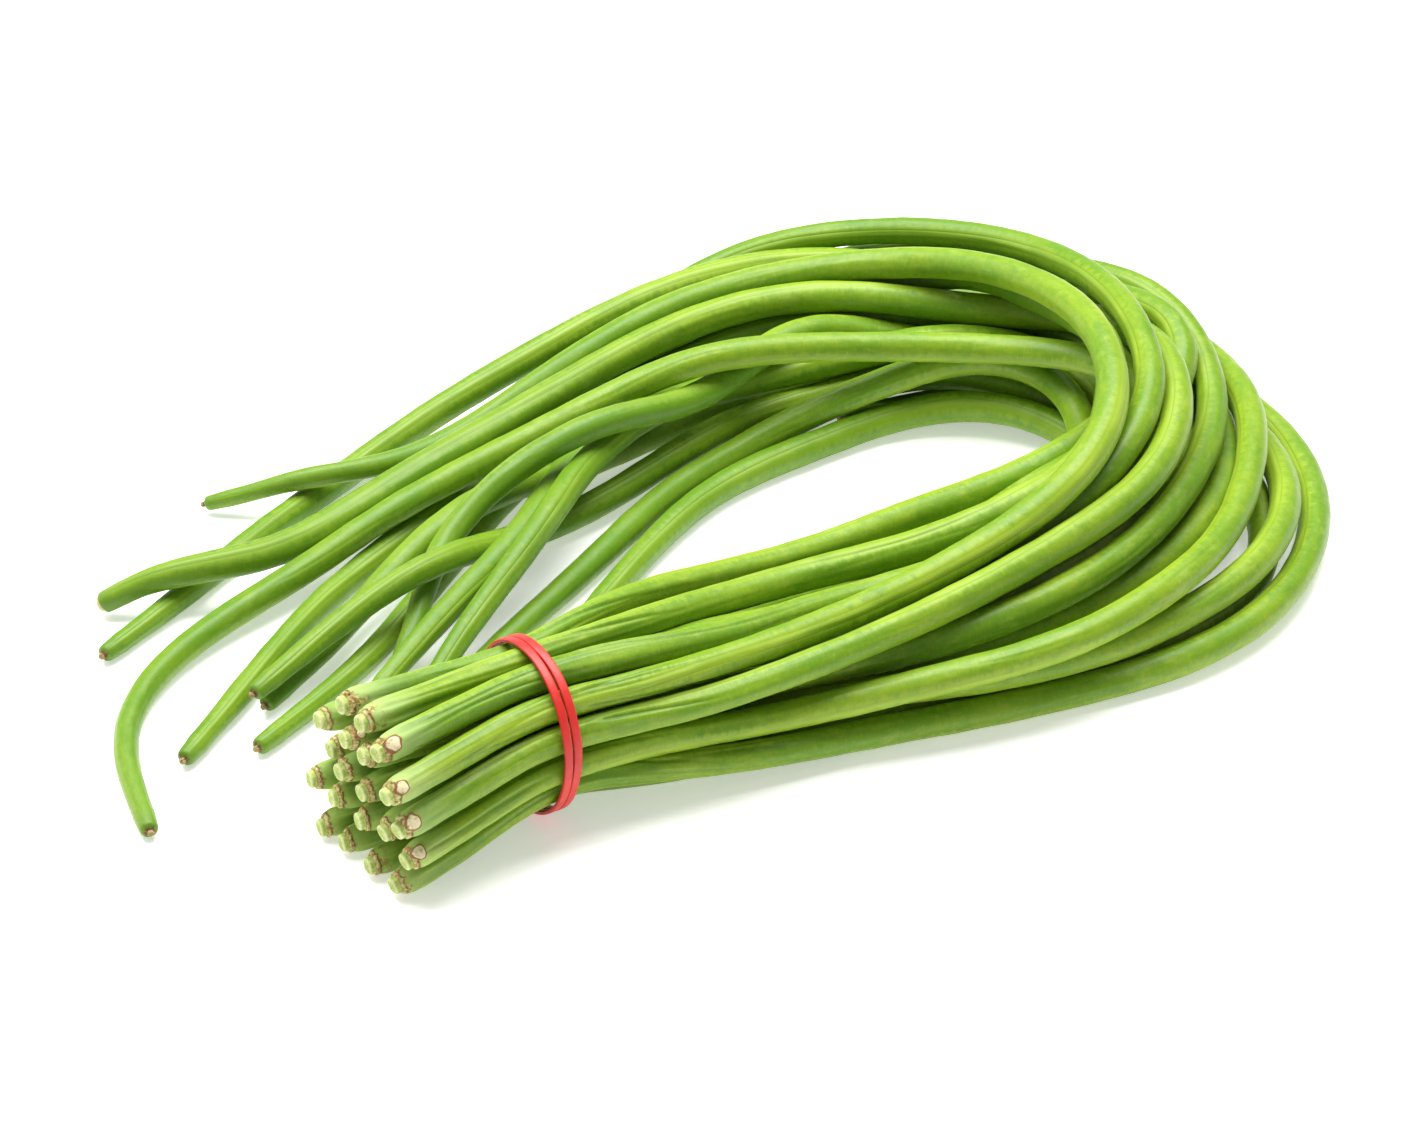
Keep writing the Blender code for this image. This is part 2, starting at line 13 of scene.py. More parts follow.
import bmesh
import bpy
import numpy as np
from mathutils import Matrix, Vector

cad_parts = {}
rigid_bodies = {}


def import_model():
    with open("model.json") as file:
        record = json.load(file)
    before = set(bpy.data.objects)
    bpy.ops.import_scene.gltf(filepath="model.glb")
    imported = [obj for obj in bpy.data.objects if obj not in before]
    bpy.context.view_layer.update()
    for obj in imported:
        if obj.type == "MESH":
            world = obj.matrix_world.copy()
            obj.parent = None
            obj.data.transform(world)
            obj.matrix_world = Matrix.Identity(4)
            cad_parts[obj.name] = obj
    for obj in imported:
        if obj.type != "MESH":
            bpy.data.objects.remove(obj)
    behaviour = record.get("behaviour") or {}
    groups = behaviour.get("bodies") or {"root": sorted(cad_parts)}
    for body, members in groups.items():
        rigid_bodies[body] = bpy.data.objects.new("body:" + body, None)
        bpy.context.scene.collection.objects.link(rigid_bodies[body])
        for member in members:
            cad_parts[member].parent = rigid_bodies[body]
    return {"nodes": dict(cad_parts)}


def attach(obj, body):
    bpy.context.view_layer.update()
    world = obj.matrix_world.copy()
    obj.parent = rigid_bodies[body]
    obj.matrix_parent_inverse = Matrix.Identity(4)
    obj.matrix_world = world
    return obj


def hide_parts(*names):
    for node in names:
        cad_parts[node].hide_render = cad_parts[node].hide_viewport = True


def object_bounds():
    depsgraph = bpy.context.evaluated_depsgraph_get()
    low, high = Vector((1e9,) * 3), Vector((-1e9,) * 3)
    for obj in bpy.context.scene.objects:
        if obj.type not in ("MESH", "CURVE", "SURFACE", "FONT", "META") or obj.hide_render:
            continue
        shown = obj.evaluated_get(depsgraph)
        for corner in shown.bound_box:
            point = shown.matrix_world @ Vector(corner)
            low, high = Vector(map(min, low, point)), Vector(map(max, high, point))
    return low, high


for old in list(bpy.data.objects):
    bpy.data.objects.remove(old)
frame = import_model()
solid_low, solid_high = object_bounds()
pod_names = sorted(name for name in frame["nodes"] if name.startswith("pod_"))
MM = 0.001
print(len(pod_names), "pods, box in mm", [round(1000 * v, 1) for v in solid_high - solid_low])

# %% [markdown]
# ## Reading a pod's centre line
#
# The solid pods are eight-sided tubes. Their meshes come as loose triangles, so a copy is
# welded first. An end cap is the only place where six triangles lie flat in one small plane,
# so it is easy to find. From the cap at the cut end the rings are then peeled off one by
# one: the next ring is every corner that touches the last one. The middle of each ring is a
# point of the centre line, and the distance to its corners is the pod's radius there.

# %% Peel the rings off a solid pod
RING = 8


def welded_copy(node):
    mesh = bmesh.new()
    mesh.from_mesh(frame["nodes"][node].data)
    bmesh.ops.remove_doubles(mesh, verts=mesh.verts, dist=1e-6)
    mesh.verts.ensure_lookup_table()
    return mesh


def end_caps(mesh):
    """The corners of each small flat group of six triangles."""
    unseen, caps = set(mesh.faces), []
    while unseen:
        group, fresh = set(), {unseen.pop()}
        while fresh:
            group |= fresh
            flat = [edge for face in fresh for edge in face.edges if edge.calc_face_angle() < 0.003]
            fresh = {face for edge in flat for face in edge.link_faces} - group
        unseen -= group
        corners = {corner for face in group for corner in face.verts}
        if len(group) == RING - 2 and ring_shape(corners)[1] < 2 * MM:
            caps.append(corners)
    return caps


def ring_centres(node):
    mesh = welded_copy(node)
    caps = end_caps(mesh)
    if len(caps) != 2:
        raise ValueError(node + " has %d end caps" % len(caps))
    ring = max(caps, key=lambda corners: ring_shape(corners)[1])
    seen, centres, radii = set(), [], []
    while ring:
        centre, radius = ring_shape(ring)
        centres.append(centre)
        radii.append(radius)
        seen |= ring
        ring = {edge.other_vert(v) for v in ring for edge in v.link_edges} - seen
    mesh.free()
    return np.array(centres) / MM, np.array(radii) / MM


def ring_shape(corners):
    places = np.array([corner.co for corner in corners])
    centre = places.mean(axis=0)
    return centre, float(np.linalg.norm(places - centre, axis=1).mean())


solid_lines = {name: ring_centres(name) for name in pod_names}
print("rings in a pod:", {len(line[0]) for line in solid_lines.values()})

# %% [markdown]
# ## A smooth line with close stations
#
# The rings are 10 to 20 mm apart, so the line between them is filled in with a spline and
# then evened with a bell-shaped average a few millimetres wide, which takes out the last
# corners. Stations sit about a millimetre apart, and much closer at the two ends, where the
# stalk knob and the tip need them.

# %% Smooth the centre lines
FINE_STEP = 0.5
SMOOTH_OVER = 4.0
STATION_STEP = 1.1
HEAD_RINGS, TIP_RINGS = 5, 3


def length_along(line):
    steps = np.linalg.norm(np.diff(line, axis=0), axis=1)
    return np.concatenate([[0.0], np.cumsum(steps)])


def spline_through(line):
    """Catmull-Rom curve in steps of FINE_STEP, with spacing taken from the real distances."""
    here = length_along(line)
    slope = np.gradient(line, here, axis=0)
    wanted = np.append(np.arange(0.0, here[-1], FINE_STEP), here[-1])
    left = np.clip(np.searchsorted(here, wanted, side="right") - 1, 0, len(here) - 2)
    span = (here[left + 1] - here[left])[:, None]
    t = (wanted[:, None] - here[left][:, None]) / span
    return ((2 * t**3 - 3 * t**2 + 1) * line[left] + (t**3 - 2 * t**2 + t) * span * slope[left]
            + (3 * t**2 - 2 * t**3) * line[left + 1] + (t**3 - t**2) * span * slope[left + 1])


def bell_average(values):
    reach = int(3 * SMOOTH_OVER / FINE_STEP)
    bell = np.exp(-0.5 * (np.arange(-reach, reach + 1) * FINE_STEP / SMOOTH_OVER) ** 2)
    bell /= bell.sum()
    start = 2 * values[0] - values[reach:0:-1]
    finish = 2 * values[-1] - values[-2:-reach - 2:-1]
    padded = np.concatenate([start, values, finish])
    return np.stack([np.convolve(column, bell, "valid") for column in padded.T], axis=1)


def smooth_pod(name):
    centres, radii = solid_lines[name]
    keep = np.append(np.diff(length_along(centres)) > 3.0, True)
    keep[0] = True
    line = bell_average(spline_through(centres[keep]))
    body = slice(HEAD_RINGS, len(radii) - TIP_RINGS)
    line_here = length_along(line)
    thickness = np.interp(line_here, length_along(centres)[body], radii[body])
    thickness = bell_average(thickness[:, None])[:, 0]
    return line, line_here, thickness


smooth_lines = {name: smooth_pod(name) for name in pod_names}
lengths = [line[1][-1] for line in smooth_lines.values()]
print("pods are %.0f to %.0f mm long" % (min(lengths), max(lengths)))

# %% [markdown]
# ## The two ends of a pod
#
# The cut end shows how the pod hung on the plant. A round stalk knob, four to five
# millimetres wide, sticks out by one and a half. Round its foot runs a corky collar where the
# flower sat, and from there the shoulder swells to the full neck. The other end is blunt and
# carries the short dried stub of the flower's style. One pod ends stouter, with a broad pale
# stub. All are profiles: a radius at each distance from the end. The first few corners also
# dent the flat face inwards.

# %% Profiles of the ends
KNOB_PROFILE = [
    (0.00, 0.25), (0.02, 0.85), (0.05, 1.35), (0.10, 1.75), (0.22, 2.04), (0.42, 2.20),
    (0.70, 2.27), (1.05, 2.26), (1.38, 2.22), (1.55, 2.28), (1.66, 2.48), (1.74, 2.70),
    (1.86, 2.86), (2.05, 2.96), (2.30, 3.00), (2.60, 3.05), (3.00, 3.18), (3.50, 3.34),
    (4.10, 3.48), (4.80, 3.58), (5.60, 3.64), (6.50, 3.68), (7.50, 3.70),
]
TIP_PROFILE = [
    (0.00, 0.25), (0.04, 0.60), (0.14, 0.78), (0.45, 0.86), (0.95, 0.88), (1.20, 0.95),
    (1.34, 1.20), (1.44, 1.55), (1.58, 1.90), (1.85, 2.16), (2.30, 2.34), (3.00, 2.44),
    (4.00, 2.52), (5.20, 2.60), (6.60, 2.70), (8.00, 2.82),
]
STOUT_TIP_PROFILE = [
    (0.00, 0.40), (0.05, 1.15), (0.18, 1.66), (0.40, 1.92), (0.80, 2.04), (1.12, 2.06),
    (1.22, 2.20), (1.32, 2.45), (1.48, 2.70), (1.75, 2.87), (2.30, 2.98), (3.00, 3.05),
    (4.00, 3.10), (5.20, 3.14), (6.60, 3.18), (8.00, 3.22),
]
KNOB_DENTS = (0.06, 0.05, 0.04, 0.02)
TIP_DENTS = (0.12, 0.05)
STOUT_TIPPED = ("pod_05",)
ROUNDING = 0.97
USUAL_END = float(np.median([radii[-TIP_RINGS - 1] for _, radii in solid_lines.values()]))
print("knob", 2 * KNOB_PROFILE[6][1], "mm wide, tip stub", 2 * TIP_PROFILE[4][1], "mm wide")


# %% Place stations along a pod
def tip_profile(name):
    """The tip's profile from thick to thin, slimmer where the solid pod's end is slimmer."""
    if name in STOUT_TIPPED:
        return np.array(STOUT_TIP_PROFILE)[::-1]
    slimness = solid_lines[name][1][-TIP_RINGS - 1] / USUAL_END
    return (np.array(TIP_PROFILE) * (1.0, slimness))[::-1]


def stations_of(name):
    line, here, thickness = smooth_lines[name]
    whole = here[-1]
    knob = np.array(KNOB_PROFILE)
    tip = tip_profile(name)
    first, last = knob[-1, 0] + 1.0, whole - tip[0, 0] - 1.0
    middle = np.linspace(first, last, int((last - first) / STATION_STEP))
    from_cut = np.concatenate([knob[:, 0], middle, whole - tip[:, 0]])
    body = np.interp(middle, here, thickness) * ROUNDING
    ease_in = np.clip((middle - first) / 20.0, 0.0, 1.0)
    ease_out = np.clip((last - middle) / 25.0, 0.0, 1.0)
    body = knob[-1, 1] + (body - knob[-1, 1]) * np.sqrt(ease_in * (2 - ease_in))
    body = tip[0, 1] + (body - tip[0, 1]) * np.sqrt(ease_out * (2 - ease_out))
    radius = np.concatenate([knob[:, 1], body, tip[:, 1]])
    dent = np.zeros(len(radius))
    dent[:len(KNOB_DENTS)] = KNOB_DENTS
    if name not in STOUT_TIPPED:
        dent[-len(TIP_DENTS):] = TIP_DENTS[::-1]
    places = np.stack([np.interp(from_cut, here, line[:, axis]) for axis in range(3)], axis=1)
    even = np.stack([np.gradient(line[:, axis], here) for axis in range(3)], axis=1)
    along = np.stack([np.interp(from_cut, here, even[:, axis]) for axis in range(3)], axis=1)
    along /= np.linalg.norm(along, axis=1)[:, None]
    return {"centre": places * MM, "along": along, "pod_radius": radius, "dent": dent,
            "from_cut": from_cut, "from_tip": whole - from_cut}


print("stations in the first pod:", len(stations_of(pod_names[0])["pod_radius"]))

# %% [markdown]
# ## A short hand for nodes
#
# Both the shapes and the finishes are node trees. A small class keeps each node to one short
# call: it adds the node, sets its options, and links or fills its inputs in order.


# %% The board
class Board:
    """A node tree, with one short call for each kind of node used here."""

    def __init__(self, tree):
        self.tree = tree

    def node(self, kind, *values, **options):
        made = self.tree.nodes.new(kind)
        for name, value in options.items():
            setattr(made, name, value)
        for socket, value in zip(made.inputs, values):
            self.feed(socket, value)
        return made

    def feed(self, socket, value):
        if isinstance(value, bpy.types.NodeSocket):
            self.tree.links.new(value, socket)
        elif value is not None:
            socket.default_value = value

    def maths(self, operation, *values):
        return self.node("ShaderNodeMath", *values, operation=operation).outputs[0]

    def plus(self, first, *others):
        for other in others:
            first = self.maths("ADD", first, other)
        return first

    def minus(self, a, b):
        return self.maths("SUBTRACT", a, b)

    def times(self, first, *others):
        for other in others:
            first = self.maths("MULTIPLY", first, other)
        return first

    def step(self, value, low, high):
        """0 below low, 1 above high, smooth between; falls if low is above high."""
        made = self.node("ShaderNodeMapRange", interpolation_type="SMOOTHSTEP")
        falls = low > high
        for socket, number in zip(made.inputs, (value, min(low, high), max(low, high),
                                                float(falls), float(not falls))):
            self.feed(socket, number)
        return made.outputs[0]

    def bell(self, value, width, middle=0.0):
        """1 where value is at the middle, falling away on both sides over the width."""
        share = self.maths("DIVIDE", self.minus(value, middle), width)
        return self.maths("EXPONENT", self.times(self.times(share, share), -1.0))

    def vector(self, operation, a, b=None, scale=None):
        made = self.node("ShaderNodeVectorMath", a, operation=operation)
        if b is not None:
            self.feed(made.inputs[1], b)
        if scale is not None:
            self.feed(made.inputs["Scale"], scale)
        return made.outputs["Value" if operation in ("DOT_PRODUCT", "LENGTH") else "Vector"]

    def pushed(self, place, direction, amount):
        return self.vector("ADD", place, self.vector("SCALE", direction, scale=amount))

    def split(self, vector):
        return self.node("ShaderNodeSeparateXYZ", vector).outputs

    def join(self, x, y, z):
        return self.node("ShaderNodeCombineXYZ", x, y, z).outputs[0]

    def noise(self, place, detail=2.0, roughness=0.5):
        made = self.node("ShaderNodeTexNoise")
        self.feed(made.inputs["Vector"], place)
        self.feed(made.inputs["Scale"], 1.0)
        self.feed(made.inputs["Detail"], detail)
        self.feed(made.inputs["Roughness"], roughness)
        return made.outputs[0]

    def grain(self, place, pace, detail=2.0, roughness=0.5):
        """Noise that changes along x, y and z as fast as the three paces say."""
        return self.noise(self.vector("MULTIPLY", place, pace), detail, roughness)

    def swing(self, place, pace, detail=2.0, roughness=0.5):
        """The same noise, moved and widened so that it swings between about -1 and 1."""
        return self.times(self.minus(self.grain(place, pace, detail, roughness), 0.5), 3.0)


print("board ready:", [name for name in vars(Board) if not name.startswith("_")])

# %% [markdown]
# ## Growing a pod with Geometry Nodes
#
# A pod follows a path and a rule, so Geometry Nodes make it. The path's stations carry their
# radius and distances. The tree turns the path into a curve, sweeps a ring along it, and then
# sets every corner anew: out from the centre line by the radius, plus small amounts for what
# a real pod shows.
#
# Every corner's place round the pod is measured from straight up, so the pattern does not
# depend on how the curve happens to twist. The tree also writes what the skin needs to know:
# where a corner lies on the straightened pod, and which way it faces from the seam.

# %% Inputs of the bean tree
POD_SIDES = 72
USUAL_RADIUS = 4.3
HALF_ROUND = USUAL_RADIUS * math.pi
BEAN_INPUTS = {
    "Sides": POD_SIDES, "Seam Height": 0.085, "Crease Depth": 0.2, "Fold Depth": 0.25,
    "Squeeze": 0.38, "Swelling": 0.16, "Seam Angle": 0.0, "Scar Angle": 0.0, "Scar Size": 0.0,
    "Seed": 0.0, "Lowest Corner": Vector(), "Highest Corner": Vector(), "Skin": None,
}
SOCKET_KINDS = {int: "NodeSocketInt", float: "NodeSocketFloat", Vector: "NodeSocketVector",
                type(None): "NodeSocketMaterial"}


def new_tree(name, inputs):
    tree = bpy.data.node_groups.new(name, "GeometryNodeTree")
    tree.interface.new_socket("Geometry", in_out="OUTPUT", socket_type="NodeSocketGeometry")
    tree.interface.new_socket("Geometry", in_out="INPUT", socket_type="NodeSocketGeometry")
    for label, value in inputs.items():
        kind = SOCKET_KINDS[type(value)]
        socket = tree.interface.new_socket(label, in_out="INPUT", socket_type=kind)
        if value is not None:
            socket.default_value = value
    board = Board(tree)
    return board, board.node("NodeGroupInput").outputs


def read(board, name, kind="FLOAT"):
    made = board.node("GeometryNodeInputNamedAttribute", name, data_type=kind)
    return made.outputs[0]


def write(board, geometry, name, value, kind="FLOAT"):
    made = board.node("GeometryNodeStoreNamedAttribute", data_type=kind, domain="POINT")
    board.feed(made.inputs["Geometry"], geometry)
    board.feed(made.inputs["Name"], name)
    board.feed(made.inputs["Value"], value)
    return made.outputs[0]


print("inputs of the bean tree:", list(BEAN_INPUTS))


# %% Sweep a ring, move its corners, finish the mesh
def sweep(board, geometry, sides):
    """The path as a curve, with a ring swept along it."""
    curve = board.node("GeometryNodeMeshToCurve", geometry).outputs[0]
    ring = board.node("GeometryNodeCurvePrimitiveCircle", sides)
    board.feed(ring.inputs["Radius"], MM)
    tube = board.node("GeometryNodeCurveToMesh", curve, ring.outputs[0])
    board.feed(tube.inputs["Fill Caps"], True)
    return tube.outputs[0]


def way_out(board):
    """Centre and direction of the path at a corner, and the way from there to the corner."""
    centre, along = read(board, "centre", "FLOAT_VECTOR"), read(board, "along", "FLOAT_VECTOR")
    place = board.node("GeometryNodeInputPosition").outputs[0]
    return centre, along, board.vector("NORMALIZE", board.vector("SUBTRACT", place, centre))


def way_round(board, along, out):
    """Up and sideways at a corner, and the cosine and sine of its angle from straight up."""
    lean = board.vector("DOT_PRODUCT", along, (0.0, 0.0, 1.0))
    up = board.vector("SUBTRACT", (0.0, 0.0, 1.0), board.vector("SCALE", along, scale=lean))
    up = board.vector("NORMALIZE", up)
    side = board.vector("CROSS_PRODUCT", along, up)
    cosine, sine = board.vector("DOT_PRODUCT", out, up), board.vector("DOT_PRODUCT", out, side)
    return up, side, cosine, sine


def turned_from(board, cosine, sine, angle):
    """Cosine and sine counted from another angle."""
    c, s = board.maths("COSINE", angle), board.maths("SINE", angle)
    return (board.plus(board.times(cosine, c), board.times(sine, s)),
            board.minus(board.times(sine, c), board.times(cosine, s)))


def finish_tree(board, geometry, place, given, material):
    """Corners moved, but kept inside the given box, then smooth shading and a material."""
    raised = board.vector("MAXIMUM", place, given["Lowest Corner"])
    held = board.vector("MINIMUM", raised, given["Highest Corner"])
    placed = board.node("GeometryNodeSetPosition", geometry)
    board.feed(placed.inputs["Position"], held)
    smooth = board.node("GeometryNodeSetShadeSmooth", placed.outputs[0])
    whole = board.node("GeometryNodeRealizeInstances", smooth.outputs[0])
    clad = board.node("GeometryNodeSetMaterial", whole.outputs[0])
    board.feed(clad.inputs["Material"], material)
    board.node("NodeGroupOutput", clad.outputs[0])
    return board.tree


print("usual pod", 2 * USUAL_RADIUS, "mm wide with", POD_SIDES, "corners round it")

# %% [markdown]
# ## Relief: seams, creases, folds and swellings
#
# Two seams run along a pod where its halves meet: one a low cord between two grooves, the
# other softer. Long creases come with drying, deepest where the bundle is squeezed. Just past
# the band two folds slant out of the squeezed part. The whole pod swells slowly over its
# seeds and is pressed a little flat where others lie against it. A sculpted or scanned pod
# could show all this too, but formulas give twenty different pods from one small tree.


# %% Seams and ribs
def seam_relief(board, given, straight, round_seam):
    off = board.maths("ABSOLUTE", round_seam)
    off_other = board.minus(HALF_ROUND, off)
    strength = board.plus(0.35, board.grain(straight, (0.0, 0.0, 0.03), 1.0))
    deep_side = board.bell(round_seam, 0.4, 1.15)
    soft_side = board.bell(round_seam, 0.5, -1.2)
    cord = board.minus(board.bell(off, 0.75),
                       board.plus(deep_side, board.times(soft_side, 0.45)))
    soft = board.minus(board.times(board.bell(off_other, 0.9), 0.7),
                       board.times(board.bell(off_other, 0.6, 1.7), 0.5))
    both = board.plus(cord, board.times(soft, 0.8))
    return board.times(both, strength, given["Seam Height"])


def neck_ribs(board, seam_turn, from_cut):
    """Seven faint ribs round the neck, which fade out up the pod."""
    ribs = board.maths("SINE", board.times(seam_turn, 7.0))
    return board.times(ribs, 0.05, board.step(from_cut, 20.0, 5.0))


print("seams lie", round(HALF_ROUND, 1), "mm apart round the pod")

# %% Creases and folds
PAST_BAND = 58.0
FOLDS = ((2.2, 0.10, 1.0), (-3.2, -0.075, 0.8))


def creases(board, given, straight, from_cut):
    """Valleys where a long drawn-out noise crosses its middle value."""
    valley = board.bell(board.minus(board.grain(straight, (0.19, 0.19, 0.013), 1.0), 0.5), 0.05)
    patchy = board.step(board.grain(straight, (0.1, 0.1, 0.02), 1.0), 0.42, 0.6)
    squeezed = board.plus(board.times(board.step(from_cut, 170.0, 50.0), 0.55),
                          board.times(patchy, 0.6),
                          board.times(board.step(from_cut, 85.0, 60.0), 0.7))
    pitted = board.plus(0.55, board.grain(straight, (0.0, 0.0, 0.42)))
    return board.times(valley, squeezed, pitted, given["Crease Depth"])


def folds(board, given, round_seam, wander, from_cut):
    """Grooves with a ridge beside them; each has a start, a slope and a share of the depth."""
    past_band = board.minus(from_cut, PAST_BAND)
    loose = board.times(wander, 1.2)
    grooves = []
    for start, slope, share in FOLDS:
        aside = board.minus(board.plus(round_seam, loose),
                            board.plus(start, board.times(past_band, slope)))
        ridge = board.times(board.bell(aside, 0.8, -1.3), 0.5)
        grooves.append(board.times(board.minus(board.bell(aside, 0.5), ridge), share))
    near = board.times(board.step(past_band, -1.0, 4.0), board.step(past_band, 42.0, 14.0))
    return board.times(board.plus(*grooves), near, given["Fold Depth"])


print("folds past the band:", len(FOLDS))


# %% Flats and swellings
def bulges(board, given, straight, from_cut):
    """Flats and hollows from the squeeze, and slow swellings over the seeds."""
    near_band = board.plus(board.step(from_cut, 170.0, 60.0), 0.4)
    pressed = board.swing(straight, (0.22, 0.22, 0.012), 1.0)
    flats = board.times(near_band, given["Squeeze"], pressed)
    slow = board.swing(straight, (0.0, 0.0, 0.035), 1.0)
    seeds = board.times(board.swing(straight, (0.03, 0.03, 0.11), 1.0), 0.85)
    return board.plus(flats, board.times(board.plus(slow, seeds), given["Swelling"]))


print("usual swelling", BEAN_INPUTS["Swelling"], "mm")

# %% [markdown]
# ## Cork and scar
#
# The corky ring at the cut end is rough. Some pods have a second scar beside their knob: a
# slightly raised patch. Its uneven outline is a number that the colours use again later.

# %% Cork and scar
SCAR_FROM_CUT = 3.5
NECK_RADIUS = 3.1
SCAR_LIFT = 0.5


def cork_relief(board, straight, from_cut):
    rough = board.swing(straight, (0.55, 0.55, 0.8), 3.0, 0.6)
    collar = board.times(board.step(from_cut, 1.5, 1.9), board.step(from_cut, 4.2, 2.7))
    return board.times(rough, 0.15, collar)


def scar_distance(board, given, straight, cosine, sine, from_cut):
    """Distance from the scar's middle as a share of its size, and whether there is a scar."""
    scar_cos, scar_sin = turned_from(board, cosine, sine, given["Scar Angle"])
    sideways = board.times(board.maths("ARCTAN2", scar_sin, scar_cos), NECK_RADIUS)
    lengthways = board.times(board.minus(from_cut, SCAR_FROM_CUT), 0.95)
    away = board.maths("SQRT", board.plus(board.times(sideways, sideways),
                                          board.maths("POWER", lengthways, 2.0)))
    uneven = board.swing(straight, (0.38, 0.38, 0.38))
    away = board.times(away, board.plus(1.0, board.times(uneven, 0.35)))
    share = board.maths("DIVIDE", away, board.maths("MAXIMUM", given["Scar Size"], 0.01))
    return share, board.step(given["Scar Size"], 0.2, 0.6)


print("scars lie", SCAR_FROM_CUT, "mm from the knob's face")


# %% The bean tree
def bean_tree():
    board, given = new_tree("bean pod", BEAN_INPUTS)
    swept = sweep(board, given["Geometry"], given["Sides"])
    centre, along, out = way_out(board)
    up, side, cosine, sine = way_round(board, along, out)
    from_cut, from_tip = read(board, "from_cut"), read(board, "from_tip")

    # where the corner lies on the straightened pod, in millimetres
    seed = board.times(given["Seed"], 137.0)
    straight = board.join(board.times(cosine, USUAL_RADIUS), board.times(sine, USUAL_RADIUS),
                          board.plus(from_cut, seed))

    # how far the corner is round from the seam, which wanders a little along the pod
    wander = board.swing(straight, (0.0, 0.0, 0.008), 1.0)
    seam_at = board.plus(given["Seam Angle"], board.times(wander, 0.9))
    seam_cos, seam_sin = turned_from(board, cosine, sine, seam_at)
    seam_turn = board.maths("ARCTAN2", seam_sin, seam_cos)
    round_seam = board.times(seam_turn, USUAL_RADIUS)

    # relief and bulges fade out at both ends, where the profiles give the shape
    body = board.times(board.step(from_cut, 3.0, 9.0), board.step(from_tip, 1.8, 9.0))
    raised = board.plus(seam_relief(board, given, straight, round_seam),
                        neck_ribs(board, seam_turn, from_cut))
    sunk = board.plus(creases(board, given, straight, from_cut),
                      folds(board, given, round_seam, wander, from_cut))
    relief = board.times(board.minus(raised, sunk), body)
    bulge = board.times(bulges(board, given, straight, from_cut), body)

    # cork, scar and the frayed stub of the tip
    cork = cork_relief(board, straight, from_cut)
    scar_share, scarred = scar_distance(board, given, straight, cosine, sine, from_cut)
    scar_lift = board.times(board.step(scar_share, 1.15, 0.75), scarred, SCAR_LIFT)
    frayed = board.times(board.step(from_tip, 2.4, 0.9), 0.14,
                         board.swing(straight, (0.5, 0.5, 1.2)))

    # the corner's new place: outwards, a little lengthways, and with the knob away from its scar
    shape = board.plus(read(board, "pod_radius"), relief, board.plus(bulge, cork),
                       board.plus(scar_lift, frayed))
    shape = board.maths("MAXIMUM", shape, 0.12)
    wavy = board.times(board.swing(straight, (0.5, 0.5, 0.5)), 0.1, board.step(from_cut, 1.0, 0.2))
    inwards = board.plus(read(board, "dent"), wavy)
    moved = board.pushed(centre, out, board.times(shape, MM))
    moved = board.pushed(moved, along, board.times(inwards, MM))
    to_scar = board.vector("SCALE", up, scale=board.maths("COSINE", given["Scar Angle"]))
    to_scar = board.pushed(to_scar, side, board.maths("SINE", given["Scar Angle"]))
    shift = board.times(board.step(from_cut, 2.8, 1.6), read(board, "knob_shift"))
    moved = board.pushed(moved, to_scar, board.times(shift, -MM))

    # what the skin reads is written before the corners move, while the ring is still round
    kept = write(board, swept, "straight", straight, "FLOAT_VECTOR")
    kept = write(board, kept, "round_seam", board.join(seam_cos, seam_sin, 0.0), "FLOAT_VECTOR")
    kept = write(board, kept, "relief", relief)
    kept = write(board, kept, "scar", board.times(scar_share, scarred))
    return finish_tree(board, kept, moved, given, given["Skin"])


pod_maker = bean_tree()
print("bean tree has", len(pod_maker.nodes), "nodes")

# %% [markdown]
# ## The skin
#
# Fresh bean skin is a satin, faintly waxy green. Patches of leaf and lime green run along the
# pod, fine hatching lies across it, and yellow-green strips with rippled edges follow the
# seams, which are faint light lines beside darker ones of painted shade in the grooves. Sunk
# places such as creases get painted shade as well. Light goes a little way into the flesh, so
# a trace of subsurface scattering keeps the shadows green. At the cut end the colour fades to
# cream, with a corky collar round the knob. All patterns read the place on the straightened
# pod, so they follow every bend; an image would have to be wrapped round it.


# %% Colours and reading helpers
def tone(code):
    """A colour from its six-digit code, as the linear values that shaders use."""
    parts = [int(code[k:k + 2], 16) / 255 for k in (0, 2, 4)]
    return tuple(p / 12.92 if p <= 0.04045 else ((p + 0.055) / 1.055) ** 2.4 for p in parts) + (1.0,)


def attribute(board, name, output="Fac"):
    made = board.node("ShaderNodeAttribute", attribute_name=name)
    return made.outputs[output]


def mixed(board, share, first, second):
    made = board.node("ShaderNodeMix", data_type="RGBA")
    board.feed(made.inputs[0], share)
    board.feed(made.inputs[6], first)
    board.feed(made.inputs[7], second)
    return made.outputs[2]


def new_finish(name):
    made = bpy.data.materials.new(name)
    made.use_nodes = True
    board = Board(made.node_tree)
    return made, board, made.node_tree.nodes["Principled BSDF"]


def set_values(node, values):
    for name, value in values.items():
        node.inputs[name].default_value = value


def bumped(board, height, distance, strength, below=None):
    made = board.node("ShaderNodeBump")
    board.feed(made.inputs["Strength"], strength)
    board.feed(made.inputs["Distance"], distance)
    board.feed(made.inputs["Height"], height)
    if below is not None:
        board.feed(made.inputs["Normal"], below)
    return made.outputs[0]


print("mid green is", tone("86B43A"))

